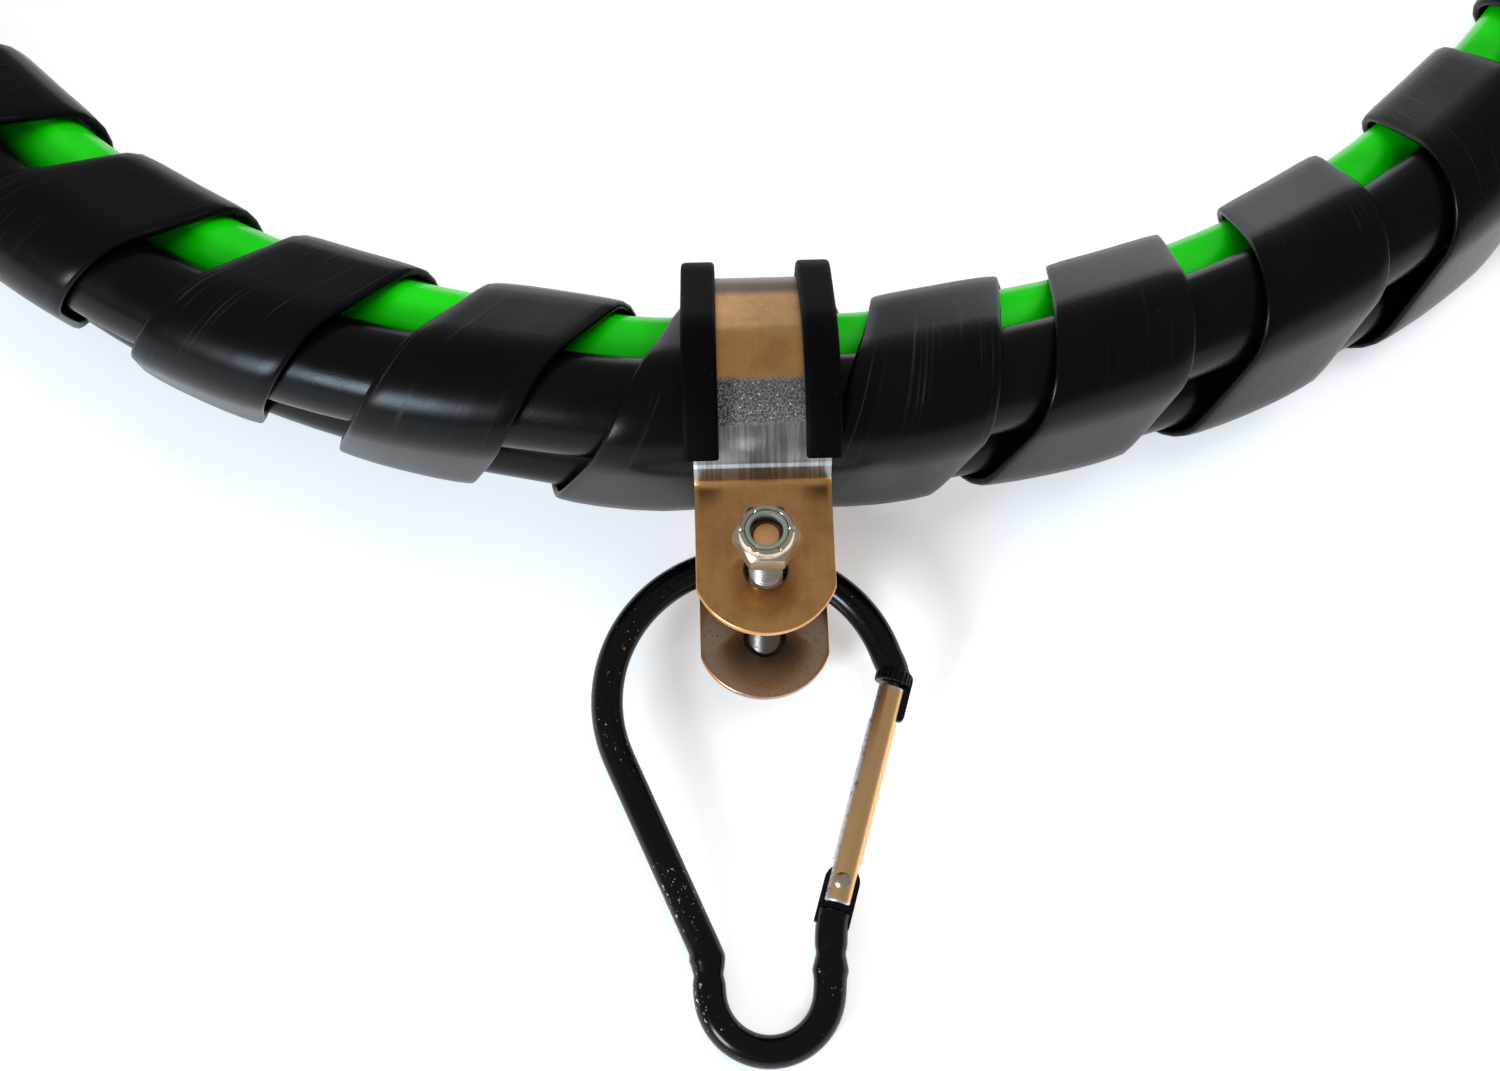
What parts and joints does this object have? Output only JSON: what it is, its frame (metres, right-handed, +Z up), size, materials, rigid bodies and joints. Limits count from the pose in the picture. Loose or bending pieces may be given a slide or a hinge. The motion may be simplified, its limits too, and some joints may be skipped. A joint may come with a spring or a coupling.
{
  "type": "air hose and power cable assembly",
  "caption": "Two rubber air hoses and a green power cable in a black spiral wrap, with a cushioned P-clamp at mid-length, a carabiner on its bolt, and fittings at both ends.",
  "frame": {"origin": "middle of the footprint, on the floor that the bundle lies on", "axes": "+Z up from the floor, +Y from the carabiner to the back of the loop, +X to the right as seen from the carabiner"},
  "size_m": [0.5752, 0.8046, 0.0595],
  "materials": {
    "hose_rubber": "satin black extruded rubber cover",
    "cable_green": "glossy bright green jacket",
    "wrap_plastic": "satin black polyethylene",
    "cushion_rubber": "matt black rubber",
    "clamp_steel": "lightly pitted, warm reflections",
    "bolt_steel": "bright zinc",
    "insert_nylon": "grey-green nylon",
    "black_aluminium": "gloss black coat, chipped",
    "gate_aluminium": "satin silver",
    "brass": "plain turned",
    "plug_plastic": "moulded black"
  },
  "bodies": {
    "bundle": {"block_left": "plug_plastic", "block_right": "plug_plastic", "boot_left": "cushion_rubber", "boot_right": "cushion_rubber", "clamp_bolt": "bolt_steel", "clamp_cushion": "cushion_rubber", "clamp_nut": "bolt_steel", "clamp_strap": "clamp_steel", "ferrule_lower_left": "brass", "ferrule_lower_right": "brass", "ferrule_upper_left": "brass", "ferrule_upper_right": "brass", "gland_left": "plug_plastic", "gland_right": "plug_plastic", "hose_lower": "hose_rubber", "hose_upper": "hose_rubber", "nut_insert": "insert_nylon", "plug_left": "plug_plastic", "plug_right": "plug_plastic", "power_cable": "cable_green", "sleeve_lower_left": "cushion_rubber", "sleeve_lower_right": "cushion_rubber", "sleeve_upper_left": "cushion_rubber", "sleeve_upper_right": "cushion_rubber", "spiral_wrap": "wrap_plastic", "stem_lower_left": "brass", "stem_lower_right": "brass", "stem_upper_left": "brass", "stem_upper_right": "brass", "terminal_left_0": "brass", "terminal_left_1": "brass", "terminal_left_2": "brass", "terminal_left_3": "brass", "terminal_left_4": "brass", "terminal_left_5": "brass", "terminal_left_6": "brass", "terminal_right_0": "brass", "terminal_right_1": "brass", "terminal_right_2": "brass", "terminal_right_3": "brass", "terminal_right_4": "brass", "terminal_right_5": "brass", "terminal_right_6": "brass"},
    "carabiner": {"carabiner_body": "black_aluminium", "gate_pin": "bolt_steel"},
    "gate": {"gate_tube": "gate_aluminium"},
    "swivel_lower_left_body": {"swivel_lower_left": "brass"},
    "swivel_lower_right_body": {"swivel_lower_right": "brass"},
    "swivel_upper_left_body": {"swivel_upper_left": "brass"},
    "swivel_upper_right_body": {"swivel_upper_right": "brass"}
  },
  "joints": [
    {"name": "carabiner_swing", "type": "hinge", "parent": "bundle", "child": "carabiner", "pos_m": [0.05036, -0.3225, 0.00999], "axis": [0, -0.0881, 0.9961], "range_deg": [-50, 50]},
    {"name": "carabiner_gate", "type": "hinge", "parent": "carabiner", "child": "gate", "pos_m": [0.06296, -0.36977, 0.00582], "axis": [0, -0.0881, 0.9961], "range_deg": [0, 22], "stiffness_Nm_per_rad": 0.05, "springref_deg": -28.65},
    {"name": "swivel_lower_left_turn", "type": "hinge", "parent": "bundle", "child": "swivel_lower_left_body", "pos_m": [0.15587, -0.0063, 0.01282], "axis": [-0.1733, -0.9849, 0], "continuous": true},
    {"name": "swivel_lower_right_turn", "type": "hinge", "parent": "bundle", "child": "swivel_lower_right_body", "pos_m": [-0.23523, 0.27673, 0.01282], "axis": [-0.8482, -0.5297, 0], "continuous": true},
    {"name": "swivel_upper_left_turn", "type": "hinge", "parent": "bundle", "child": "swivel_upper_left_body", "pos_m": [0.11844, 0.00028, 0.01282], "axis": [-0.1733, -0.9849, 0], "continuous": true},
    {"name": "swivel_upper_right_turn", "type": "hinge", "parent": "bundle", "child": "swivel_upper_right_body", "pos_m": [-0.25536, 0.30896, 0.01282], "axis": [-0.8482, -0.5297, 0], "continuous": true}
  ]
}
